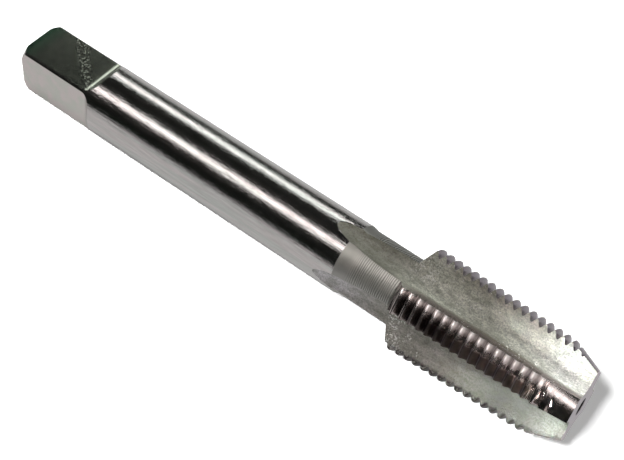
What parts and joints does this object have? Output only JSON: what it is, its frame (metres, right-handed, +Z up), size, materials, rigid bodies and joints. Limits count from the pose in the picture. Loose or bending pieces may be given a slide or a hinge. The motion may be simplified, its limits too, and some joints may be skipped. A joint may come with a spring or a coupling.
{
  "type": "thread tap",
  "caption": "Straight-fluted hand tap that cuts a tapered pipe thread, with a chamfered lead, a necked round shank and a square drive end.",
  "frame": {"origin": "centre of the footprint of the tap lying on its side, on the surface that it rests on", "axes": "+X along the tap from the square drive end to the tip, rising 1.5 degrees as it rests; +Z up, out of the upper flute; +Y to the left of a viewer who looks from the drive end to the tip"},
  "size_m": [0.0646, 0.009, 0.009],
  "materials": {
    "steel": "ground high-speed steel: polished lengthwise on the shank, satin in the flutes, bright on the thread crests"
  },
  "bodies": {
    "root": {"tap": "steel"}
  },
  "joints": []
}
